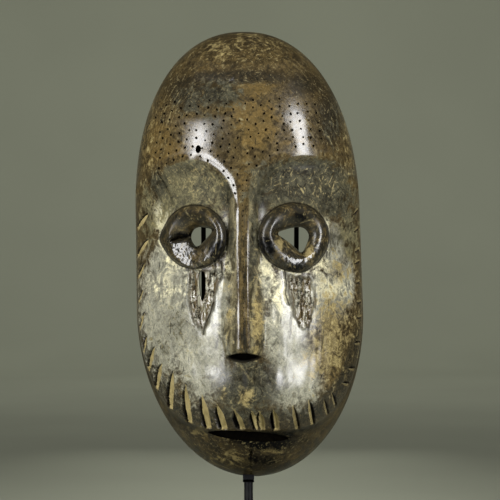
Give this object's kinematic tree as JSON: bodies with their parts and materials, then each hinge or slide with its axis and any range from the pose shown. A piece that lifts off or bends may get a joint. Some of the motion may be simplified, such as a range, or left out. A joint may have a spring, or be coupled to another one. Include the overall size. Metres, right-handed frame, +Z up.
{
  "type": "carved wooden mask on a stand",
  "caption": "Carved wooden mask with a long oval face, hollow behind, held upright by a steel rod with a fork and a chin rest on a flat foot.",
  "frame": {"origin": "middle of the foot's underside", "axes": "+Z up, -Y out of the front of the face, +X to the viewer's right"},
  "size_m": [0.1542, 0.11, 0.3754],
  "materials": {
    "carved_wood": "worn, dark, polished by handling, with pale dry residue and bare cuts",
    "black_steel": "satin black paint"
  },
  "bodies": {
    "root": {"mask": "carved_wood", "stand_rod": "black_steel", "stand_foot": "black_steel"}
  },
  "joints": []
}
